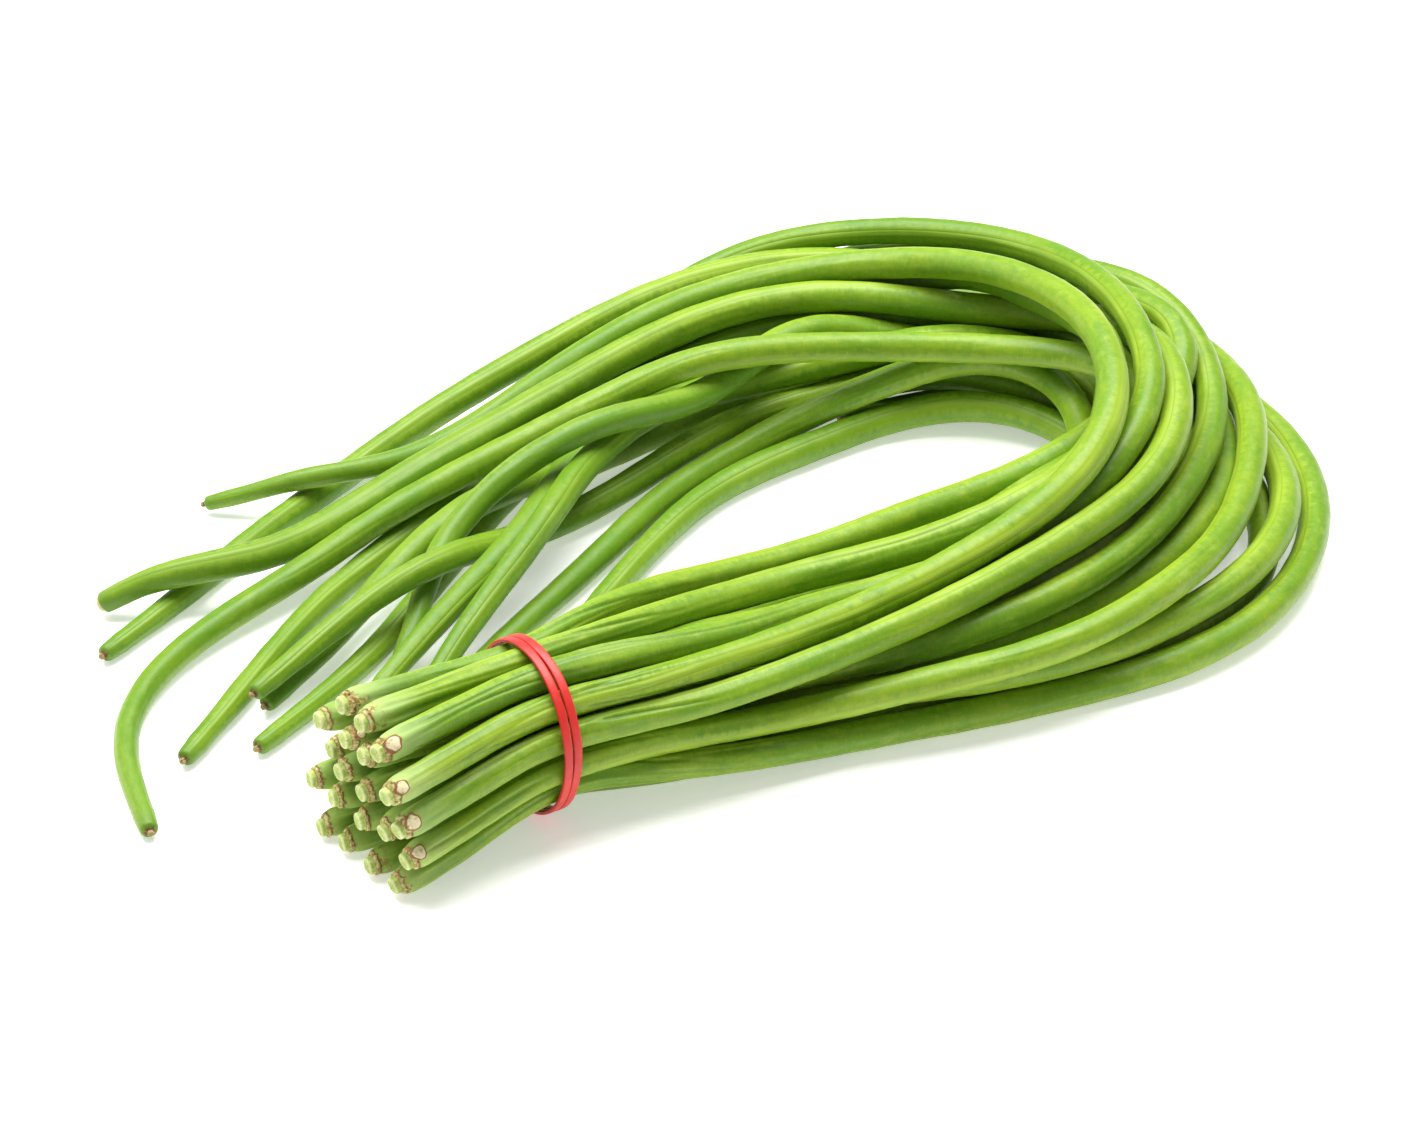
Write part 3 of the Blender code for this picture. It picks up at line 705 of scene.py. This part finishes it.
# %% Greens of the skin
LEAF, LIME, DEEP, PALE = tone("6F9614"), tone("86A51E"), tone("446B0A"), tone("A8BE58")
CLOUDS = (
    ((0.19, 0.19, 0.08), 4.0, 0.52, 0.74, 0.32, DEEP),
    ((0.24, 0.24, 0.11), 4.0, 0.54, 0.76, 0.45, PALE),
    ((0.2, 0.2, 0.06), 3.0, 0.58, 0.76, 0.34, tone("A6B42A")),
    ((0.3, 0.3, 0.02), 3.0, 0.54, 0.74, 0.07, DEEP),
    ((0.95, 0.95, 0.75), 3.0, 0.52, 0.74, 0.2, PALE),
)


def painted(board, colour, share, strength, paint):
    """The colour with paint laid over it where share is high, at most as thick as strength."""
    return mixed(board, board.times(share, strength), colour, paint)


def skin_greens(board, straight, hatching):
    """Broad patches, clouds and streaks from large to fine, and hatching across the pod."""
    patch = board.plus(board.grain(straight, (0.10, 0.10, 0.035)), attribute(board, "tint"))
    colour = mixed(board, board.step(patch, 0.36, 0.66), LEAF, LIME)
    for pace, detail, low, high, strength, paint in CLOUDS:
        cloud = board.step(board.grain(straight, pace, detail, 0.6), low, high)
        colour = painted(board, colour, cloud, strength, paint)
    colour = painted(board, colour, board.step(hatching, 0.48, 0.76), 0.17, PALE)
    return painted(board, colour, board.step(hatching, 0.48, 0.25), 0.16, DEEP)


print(len(CLOUDS), "layers of cloud")

# %% Seam strips
STRIP_GREEN, BETWEEN_GREEN = tone("9CB82C"), tone("4B8A1A")
# painted shade colours: one for the seam grooves, one for sunk places
GROOVE_SHADE_GREEN, HOLLOW_SHADE_GREEN = tone("2A560A"), tone("356512")


def seam_lines(board, round_seam, worn):
    """How much a place is on a seam's cord, and how much in a groove beside it."""
    off = board.maths("ABSOLUTE", round_seam)
    off_other = board.minus(HALF_ROUND, off)
    cord = board.plus(board.bell(off, 0.6), board.times(board.bell(off_other, 0.4), 0.5))
    cord = board.times(cord, board.plus(board.times(worn, 0.7), 0.1))
    groove = board.plus(board.bell(round_seam, 0.19, 1.15),
                        board.times(board.bell(round_seam, 0.22, -1.2), 0.35),
                        board.times(board.bell(off_other, 0.2, 1.0), 0.5))
    return off, off_other, cord, groove


def seam_marks(board, colour, straight, round_seam, relief):
    """Yellow-green strips with rippled edges along the seams, speckled green between, and painted
    shade in grooves and other sunk places.
    """
    worn = board.step(board.grain(straight, (0.0, 0.0, 0.05)), 0.40, 0.60)
    off, off_other, cord, groove = seam_lines(board, round_seam, worn)
    ripple = board.swing(straight, (0.0, 0.0, 0.4), 3.0, 0.6)
    nearer = board.maths("MINIMUM", off, board.plus(off_other, 0.6))
    strip = board.step(board.plus(nearer, board.times(ripple, 2.6)), 3.4, 1.6)
    shown = board.plus(board.times(worn, 0.35), 0.28)
    colour = painted(board, colour, strip, shown, STRIP_GREEN)
    speckle = board.step(board.grain(straight, (0.5, 0.5, 0.32), 4.0, 0.65), 0.42, 0.62)
    between = board.times(board.minus(1.0, strip), speckle)
    colour = painted(board, colour, between, 0.27, BETWEEN_GREEN)
    colour = painted(board, colour, cord, 0.28, PALE)
    # painted shade: the seam grooves are painted a darker green
    line = board.times(groove, board.plus(board.times(worn, 0.85), 0.15))
    colour = painted(board, colour, line, 0.24, GROOVE_SHADE_GREEN)
    # painted shade: sunk places in creases, folds and grooves are painted darker
    colour = painted(board, colour, board.step(relief, -0.08, -0.34), 0.34, HOLLOW_SHADE_GREEN)
    return colour, board.minus(cord, groove)


print("strip green", STRIP_GREEN)

# %% Neck and tip
NECK_GREEN, TIP_GREEN, LAST_GREEN = tone("BACF84"), tone("5F8420"), tone("4C7C14")


def ends_tinted(board, colour, ragged, from_cut, from_tip):
    """The neck fades to cream; the last stretch turns deeper, and the tip duller."""
    neck = board.step(board.plus(from_cut, ragged), 20.0, 2.0)
    colour = painted(board, colour, neck, attribute(board, "neck_pale"), NECK_GREEN)
    tip = board.step(board.plus(from_tip, ragged), 9.0, 2.0)
    colour = painted(board, colour, tip, 0.5, TIP_GREEN)
    last = board.step(from_tip, 260.0, 90.0)
    return painted(board, colour, last, 0.4, LAST_GREEN), neck


print("neck green", NECK_GREEN)

# %% Cork and stains
KNOB_ENDS, COLLAR_ENDS = 1.56, 2.55
CORK_DARK, CORK_LIGHT, CORK_CREAM = tone("603A14"), tone("A87A3E"), tone("D2C486")
COLLAR_DARK, COLLAR_LIGHT, RING_BROWN = tone("A98B4C"), tone("CFC98A"), tone("6E421A")


def corky(board, colour, straight, fleck, from_cut):
    """A cream collar round the knob between two broken brown lines, and stains on some."""
    wavy = board.swing(straight, (0.6, 0.6, 0.3), 3.0, 0.6)
    edge = board.plus(from_cut, board.times(wavy, 0.6))
    collar = board.times(board.step(from_cut, 1.44, 1.58), board.step(edge, 2.6, 2.3))
    tones = mixed(board, board.step(fleck, 0.42, 0.58), COLLAR_DARK, COLLAR_LIGHT)
    colour = painted(board, colour, collar, 0.8, tones)
    foot = board.bell(from_cut, 0.13, KNOB_ENDS)
    ring = board.plus(board.bell(edge, 0.24, COLLAR_ENDS), board.times(foot, 0.7))
    broken = board.step(board.grain(straight, (0.33, 0.33, 0.2)), 0.34, 0.46)
    ring = board.times(ring, board.plus(0.45, board.times(broken, 0.55)))
    colour = mixed(board, ring, colour, RING_BROWN)
    cork = mixed(board, board.step(fleck, 0.38, 0.50), CORK_DARK, CORK_LIGHT)
    cork = mixed(board, board.step(fleck, 0.52, 0.60), cork, CORK_CREAM)
    reach = board.step(board.minus(edge, attribute(board, "stain")), 4.6, 1.6)
    blotch = board.step(board.grain(straight, (0.45, 0.45, 0.4), 4.0, 0.6), 0.48, 0.6)
    return painted(board, colour, board.times(reach, blotch), 0.85, cork), ring


print("collar from", KNOB_ENDS, "to", COLLAR_ENDS, "mm")

# %% Scar and knob
SCAR_RIM, SCAR_DARK, SCAR_CREAM = tone("8A5A2C"), tone("C4A672"), tone("E6DBB2")
KNOB_DARK, KNOB_LIGHT, KNOB_RIM = tone("A6BE56"), tone("C8D484"), tone("DEDDA8")
KNOB_FLECK = tone("8C6434")


def scar_colours(board, colour, fleck, from_cut):
    """A cream patch with a thin brown rim, on the pods that have a scar."""
    scar = attribute(board, "scar")
    scarred = board.step(scar, 0.0, 0.02)
    beside_knob = board.step(from_cut, 1.6, 1.8)
    rim = board.times(board.step(scar, 1.06, 0.92), scarred)
    colour = painted(board, colour, rim, beside_knob, SCAR_RIM)
    patch = board.times(board.step(scar, 0.80, 0.64), scarred)
    cream = mixed(board, board.step(fleck, 0.34, 0.5), SCAR_DARK, SCAR_CREAM)
    return painted(board, colour, patch, beside_knob, cream)


def knob_colours(board, colour, straight, fleck, from_cut):
    """Fresh pale green flesh with a lighter rim and a few brown flecks."""
    inner = board.step(from_cut, 1.62, 1.5)
    clouds = board.step(board.grain(straight, (0.5, 0.5, 0.5), 3.0), 0.4, 0.65)
    knob = mixed(board, clouds, KNOB_DARK, KNOB_LIGHT)
    rim = board.times(board.step(from_cut, 0.05, 0.14), board.step(from_cut, 0.7, 0.3))
    knob = painted(board, knob, rim, 0.75, KNOB_RIM)
    colour = mixed(board, inner, colour, knob)
    brown = board.times(inner, board.step(fleck, 0.6, 0.68))
    return painted(board, colour, brown, 0.8, KNOB_FLECK), inner


print("knob green", KNOB_LIGHT)

# %% The dried tip
DRIED_LIGHT, DRIED_DARK = tone("BCA66E"), tone("6B4C26")
STOUT_CREAM, STOUT_RIM = tone("D6CC98"), tone("7A4E22")


def tip_colours(board, colour, fleck, ragged, from_tip):
    """A brown dried stub, or a cream one with a brown rim on the stout-tipped pod."""
    stub = board.step(board.plus(from_tip, board.times(ragged, 0.08)), 1.55, 1.25)
    browner = board.times(board.step(from_tip, 0.5, 1.1), 0.2)
    brown = board.step(board.plus(fleck, browner), 0.48, 0.66)
    dried = mixed(board, brown, DRIED_LIGHT, DRIED_DARK)
    stout = attribute(board, "stout")
    colour = mixed(board, stub, colour, mixed(board, stout, dried, STOUT_CREAM))
    rim = board.times(stout, board.bell(from_tip, 0.16, 1.3))
    return painted(board, colour, rim, 0.8, STOUT_RIM), stub


print("dried stub", DRIED_DARK)


# %% The bean skin
def bean_skin():
    finish, board, shader = new_finish("bean_skin")
    straight = attribute(board, "straight", "Vector")
    from_cut, from_tip = (attribute(board, name) for name in ("from_cut", "from_tip"))
    facing = board.split(attribute(board, "round_seam", "Vector"))
    round_seam = board.times(board.maths("ARCTAN2", facing[1], facing[0]), USUAL_RADIUS)
    hatching = board.grain(straight, (0.42, 0.42, 2.3), 3.0, 0.6)
    fleck = board.grain(straight, (0.7, 0.7, 1.1), 4.0, 0.65)
    ragged = board.times(board.swing(straight, (0.4, 0.4, 0.12)), 2.2)

    colour = skin_greens(board, straight, hatching)
    relief = attribute(board, "relief")
    colour, lines = seam_marks(board, colour, straight, round_seam, relief)
    colour, neck = ends_tinted(board, colour, ragged, from_cut, from_tip)
    colour, ring = corky(board, colour, straight, fleck, from_cut)
    colour = scar_colours(board, colour, fleck, from_cut)
    colour, inner = knob_colours(board, colour, straight, fleck, from_cut)
    colour, stub = tip_colours(board, colour, fleck, ragged, from_tip)
    board.feed(shader.inputs["Base Color"], colour)

    # satin gloss, duller on cork
    gloss = board.times(board.grain(straight, (0.25, 0.25, 0.1), 3.0), 0.18)
    dry = board.maths("MAXIMUM", ring, stub)
    dull = board.times(board.maths("MAXIMUM", dry, neck), 0.2)
    board.feed(shader.inputs["Roughness"], board.plus(gloss, 0.33, dull))
    set_values(shader, {
        "Sheen Weight": 0.08, "Sheen Roughness": 0.4, "Sheen Tint": tone("D9F0A0"),
        "Specular IOR Level": 0.36, "Subsurface Weight": 0.14,
        "Subsurface Radius": (0.6, 1.0, 0.2), "Subsurface Scale": 0.0016,
    })

    # fine relief: hatching across, seam lines, pores that are coarser on cork and knob
    normal = bumped(board, hatching, 0.00010, 0.35)
    normal = bumped(board, lines, 0.00016, 0.3, normal)
    pores = board.grain(straight, (1.6, 1.6, 1.2), 4.0, 0.6)
    coarse = board.plus(board.maths("MAXIMUM", dry, board.times(inner, 0.4)), 0.12)
    normal = bumped(board, board.times(pores, coarse), 0.0004, 0.8, normal)
    board.feed(shader.inputs["Normal"], normal)
    return finish


skin = bean_skin()
print("skin has", len(skin.node_tree.nodes), "nodes")

# %% [markdown]
# ## Growing all twenty pods
#
# Each pod gets its own seed, seam direction and tint, so that no two look alike. Four pods on
# the near side of the bundle, and one behind them, show a second cream scar above and to the
# right of the knob, where a neighbouring stalk broke off, so their knobs sit low and to the
# left of it. Four others are stained brown round the knob. The path goes in as a mesh of
# points and edges, and the tree's result is kept as a plain mesh.

# %% Choices for the pods
SCARRED = {"pod_03": 2.1, "pod_04": 1.8, "pod_05": 2.0, "pod_06": 1.8, "pod_15": 1.3}
STAINED = {"pod_01": 3.2, "pod_02": 2.6, "pod_07": 1.4, "pod_08": 1.6}
SCAR_ANGLE = math.radians(44.0)
SCARRED_SHIFT = 0.85
SEAM_AT_BACK, SEAM_IN_FRONT = (-1.3, -0.2), (0.2, 1.3)
PALE_NECK, DULL_NECK, GREEN_NECK = 0.62, 0.45, 0.28
DEEP_FOLD, USUAL_FOLD = 0.42, 0.25
BOX = {"Lowest Corner": list(solid_low), "Highest Corner": list(solid_high)}


def put_in_scene(name, data):
    made = bpy.data.objects.new(name, data)
    bpy.context.scene.collection.objects.link(made)
    return made


def path_object(name, stations):
    mesh = bpy.data.meshes.new(name)
    count = len(stations["centre"])
    mesh.from_pydata(stations["centre"].tolist(), [(k, k + 1) for k in range(count - 1)], [])
    for key, values in stations.items():
        kind = "FLOAT_VECTOR" if values.ndim == 2 else "FLOAT"
        layer = mesh.attributes.new(key, kind, "POINT")
        layer.data.foreach_set("vector" if values.ndim == 2 else "value",
                               values.astype(np.float32).ravel())
    return put_in_scene(name, mesh)


def grown(path, name, tree, settings):
    """The tree's result on a path, as a plain mesh object with the given name."""
    modifier = path.modifiers.new("grow", "NODES")
    modifier.node_group = tree
    for item in tree.interface.items_tree:
        if item.name in settings:
            modifier[item.identifier] = settings[item.name]
    depsgraph = bpy.context.evaluated_depsgraph_get()
    mesh = bpy.data.meshes.new_from_object(path.evaluated_get(depsgraph))
    path.modifiers.remove(modifier)
    bpy.data.objects.remove(path)
    mesh.name = name
    return put_in_scene(name, mesh)


print("scarred:", sorted(SCARRED), "stained:", sorted(STAINED))


# %% Grow the pods
def grow_pod(number, name):
    luck = np.random.default_rng(100 + number)
    stations = stations_of(name)
    count = len(stations["pod_radius"])
    shift = SCARRED_SHIFT if name in SCARRED else luck.uniform(0.1, 0.5)
    pale = PALE_NECK if number <= 4 else DULL_NECK if number <= 7 else GREEN_NECK
    same_all_along = {"knob_shift": shift, "tint": luck.uniform(-0.07, 0.09), "neck_pale": pale,
                      "stain": STAINED.get(name, 0.0), "stout": float(name in STOUT_TIPPED)}
    for key, value in same_all_along.items():
        stations[key] = np.full(count, value)
    settings = {
        "Seed": float(number), "Skin": skin,
        "Fold Depth": DEEP_FOLD if number <= 6 else USUAL_FOLD,
        "Seam Angle": float(luck.uniform(*(SEAM_AT_BACK if number % 4 else SEAM_IN_FRONT))),
        "Scar Angle": SCAR_ANGLE if name in SCARRED else float(luck.uniform(-math.pi, math.pi)),
        "Scar Size": SCARRED.get(name, 0.0), **BOX,
    }
    path = path_object("path_" + name[4:], stations)
    made = grown(path, "bean_" + name[4:], pod_maker, settings)
    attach(made, "root")
    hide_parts(name)
    return made


beans = [grow_pod(k + 1, name) for k, name in enumerate(pod_names)]
print("triangles in the first pod:", sum(len(p.vertices) - 2 for p in beans[0].data.polygons))

# %% [markdown]
# ## The rubber band
#
# The band is one loop of flat red rubber wound twice round the bunch. Its two strands lie side
# by side and cross once, on the far side, and its top leans a little towards the loop of pods.
# It is drawn as a closed path that goes round twice and changes lanes, and a second small tree
# sweeps it: the section is a rounded rectangle, as a cut rubber strip has, and its width
# varies a little. Two rings would look the same from the front, but would not be one band.

# %% The path of the band
STRAND_WIDTH, STRAND_THICK, LANE = 2.25, 1.15, 1.26
BAND_LEAN = 0.09
HELD_RINGS = slice(9, 11)
CROSS_AT, CROSS_HALF, CROSS_GAP = -20.0, 20.0, 0.35
BAND_STEPS = 720


def tie_frame():
    """Middle of the tie and the bundle's direction, from the innermost pod's two held rings."""
    held = solid_lines["pod_20"][0][HELD_RINGS]
    along = held[1] - held[0]
    return held.mean(axis=0), along / np.linalg.norm(along)


def soft_step(value, low, high):
    t = np.clip((value - low) / (high - low), 0.0, 1.0)
    return t * t * (3 - 2 * t)


tie, tie_along = tie_frame()
band_corners = np.array([v.co for v in frame["nodes"]["rubber_band"].data.vertices]) / MM
from_tie = band_corners - tie
from_axis = np.linalg.norm(from_tie - np.outer(from_tie @ tie_along, tie_along), axis=1)
band_reach = float(np.percentile(from_axis, 2)) + 0.5 * STRAND_THICK
print("tie at", tie.round(2), "direction", tie_along.round(4), "band radius", round(band_reach, 2))


# %% Lay the path of the band
def band_path():
    """Stations twice round the tie, with the lane each is in."""
    turned = np.linspace(0.0, 720.0, BAND_STEPS, endpoint=False)
    past = np.where(turned < 360.0, turned, turned - 720.0)
    near_start = np.abs(past) < 180.0
    lane = np.where(near_start, 1 - 2 * soft_step(past, -CROSS_HALF, CROSS_HALF),
                    2 * soft_step(turned, 360.0 - CROSS_HALF, 360.0 + CROSS_HALF) - 1)
    hop = 1 - soft_step(np.abs(past), CROSS_HALF + 5.0, 2.5 * CROSS_HALF)
    angle = np.radians(turned + CROSS_AT)
    across = np.array([-tie_along[1], tie_along[0], 0.0])
    outward = np.outer(np.cos(angle), across) + np.outer(np.sin(angle), [0.0, 0.0, 1.0])
    reach = band_reach + hop * (STRAND_THICK + CROSS_GAP)
    wave = 0.12 * np.sin(angle * 3.0 + 0.7) + 0.08 * np.sin(angle * 7.0)
    aside = lane * LANE + wave * (turned > 360.0) + BAND_LEAN * band_reach * np.sin(angle)
    centre = tie + outward * reach[:, None] + np.outer(aside, tie_along)
    along = np.roll(centre, -1, axis=0) - np.roll(centre, 1, axis=0)
    along /= np.linalg.norm(along, axis=1)[:, None]
    return {"centre": centre * MM, "along": along, "outward": outward,
            "from_start": np.radians(turned) * band_reach}


band_stations = band_path()
print("band is", round(float(band_stations["from_start"][-1])), "mm long when wound twice")

# %% The band tree
BAND_INPUTS = {
    "Sides": 40, "Width": STRAND_WIDTH, "Thickness": STRAND_THICK, "Squareness": 0.58,
    "Lowest Corner": Vector(), "Highest Corner": Vector(), "Rubber": None,
}


def squared(board, value, power):
    """The value's power with its own sign, which makes a circle squarer."""
    size = board.maths("POWER", board.maths("ABSOLUTE", value), power)
    return board.times(size, board.maths("SIGN", value))


def band_tree():
    board, given = new_tree("rubber band", BAND_INPUTS)
    swept = sweep(board, given["Geometry"], given["Sides"])
    centre, along, out = way_out(board)
    outward = read(board, "outward", "FLOAT_VECTOR")
    beside = board.vector("NORMALIZE", board.vector("CROSS_PRODUCT", outward, along))
    wide_share = board.vector("DOT_PRODUCT", out, beside)
    thick_share = board.vector("DOT_PRODUCT", out, outward)
    stretch = board.plus(1.0, board.times(board.swing(centre, (140.0, 140.0, 140.0)), 0.035))
    wide = board.times(squared(board, wide_share, given["Squareness"]), stretch,
                       board.times(given["Width"], 0.5 * MM))
    thick = board.times(squared(board, thick_share, given["Squareness"]),
                        board.times(given["Thickness"], 0.5 * MM))
    moved = board.pushed(board.pushed(centre, beside, wide), outward, thick)
    strip = board.join(wide_share, thick_share, read(board, "from_start"))
    kept = write(board, swept, "strip", strip, "FLOAT_VECTOR")
    return finish_tree(board, kept, moved, given, given["Rubber"])


band_maker = band_tree()
print("band tree has", len(band_maker.nodes), "nodes")


# %% Red rubber
def red_rubber():
    finish, board, shader = new_finish("red_rubber")
    strip = attribute(board, "strip", "Vector")
    place = board.node("ShaderNodeTexCoord").outputs["Object"]
    fine = board.noise(board.vector("SCALE", place, scale=900.0), 4.0, 0.6)
    slow = board.noise(board.vector("SCALE", place, scale=110.0), 2.0)
    colour = mixed(board, board.step(slow, 0.35, 0.65), tone("D02A24"), tone("DA342C"))
    colour = painted(board, colour, board.step(fine, 0.5, 0.75), 0.2, tone("E4584E"))
    # painted shade: each strand is painted darker towards its rounded edges
    rim = board.step(board.maths("ABSOLUTE", board.split(strip)[0]), 0.75, 0.98)
    colour = painted(board, colour, rim, 0.3, tone("B01E1A"))
    board.feed(shader.inputs["Base Color"], colour)
    board.feed(shader.inputs["Roughness"], board.plus(board.times(fine, 0.14), 0.34))
    set_values(shader, {"Subsurface Weight": 0.1, "Subsurface Radius": (1.0, 0.3, 0.2),
                        "Subsurface Scale": 0.0006})
    crazed = board.grain(strip, (1.2, 1.2, 2.2), 3.0, 0.6)
    normal = bumped(board, crazed, 0.0001, 0.3)
    normal = bumped(board, fine, 0.00005, 0.3, normal)
    board.feed(shader.inputs["Normal"], normal)
    return finish


rubber = red_rubber()
print("rubber has", len(rubber.node_tree.nodes), "nodes")


# %% Wind the band
def wind_band():
    path = path_object("path_of_band", band_stations)
    mesh = bmesh.new()
    mesh.from_mesh(path.data)
    mesh.verts.ensure_lookup_table()
    mesh.edges.new((mesh.verts[-1], mesh.verts[0]))
    mesh.to_mesh(path.data)
    mesh.free()
    made = grown(path, "red_band", band_maker, {"Rubber": rubber, **BOX})
    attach(made, "root")
    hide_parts("rubber_band")
    return made


band = wind_band()
print("band corners:", len(band.data.vertices))

# %% [markdown]
# ## Table, light and camera
#
# The bunch lies on a plain white floor that glows a little by itself, which keeps it white. A
# broad soft light hangs above and a little behind the bunch, so the tops of the pods are
# bright and their near sides fall into deeper green. A weak light on the left and the white
# room fill the shadows. The camera stands in front, 35 degrees above the table, and looks
# past the tie towards the middle of the loop.

# %% Floor
FLOOR_REACH = 5.0
WHITE = (1.0, 1.0, 1.0, 1.0)


def floor():
    mesh = bpy.data.meshes.new("sweep")
    corners = [(x * FLOOR_REACH, y * FLOOR_REACH, 0) for x, y in ((-1, -1), (1, -1), (1, 1), (-1, 1))]
    mesh.from_pydata(corners, [], [(0, 1, 2, 3)])
    finish, board, shader = new_finish("white_sweep")
    place = board.node("ShaderNodeTexCoord").outputs["Object"]
    grain = board.noise(board.vector("SCALE", place, scale=220.0), 3.0)
    board.feed(shader.inputs["Base Color"], mixed(board, grain, tone("F4F4F3"), tone("F7F7F6")))
    set_values(shader, {"Roughness": 0.6, "Specular IOR Level": 0.2, "Emission Color": WHITE,
                        "Emission Strength": 0.4})
    mesh.materials.append(finish)
    put_in_scene("sweep", mesh)


floor()
print("floor laid")


# %% Lights
def soft_light(name, place, target, width, depth, watts):
    lamp = bpy.data.lights.new(name, "AREA")
    lamp.shape, lamp.size, lamp.size_y, lamp.energy = "RECTANGLE", width, depth, watts
    made = put_in_scene(name, lamp)
    made.location = place
    made.rotation_euler = (Vector(target) - Vector(place)).to_track_quat("-Z", "Y").to_euler()


soft_light("overhead", (-0.1, 0.36, 1.2), (0.0, 0.0, 0.0), 1.5, 0.9, 37.5)
soft_light("from_the_left", (-1.3, 0.3, 0.7), (0.0, 0.0, 0.02), 0.6, 0.8, 4.0)

room = bpy.data.worlds.new("white_room")
room.use_nodes = True
set_values(room.node_tree.nodes["Background"], {"Color": WHITE, "Strength": 0.29})
bpy.context.scene.world = room
bpy.context.scene.view_settings.view_transform = "Standard"

# %% Camera
AIM_FROM_TIE = Vector((0.0423, 0.1021, 0.0))
ELEVATION = math.radians(35.0)
DISTANCE = 1.1

lens = bpy.data.cameras.new("camera")
lens.sensor_width = 36.0
lens.lens = 104.56
lens.clip_start, lens.clip_end = 0.05, 30.0
camera = put_in_scene("camera", lens)
aim = Vector((tie[0] * MM, tie[1] * MM, 0.0)) + AIM_FROM_TIE
camera.location = aim + DISTANCE * Vector((0.0, -math.cos(ELEVATION), math.sin(ELEVATION)))
camera.rotation_euler = (math.pi / 2 - ELEVATION, 0.0, 0.0)
bpy.context.scene.camera = camera
print("camera at", [round(v, 3) for v in camera.location])

# %% Sizes and finish
print("solid box in mm", [round(1000 * v, 2) for v in (*solid_low, *solid_high)])
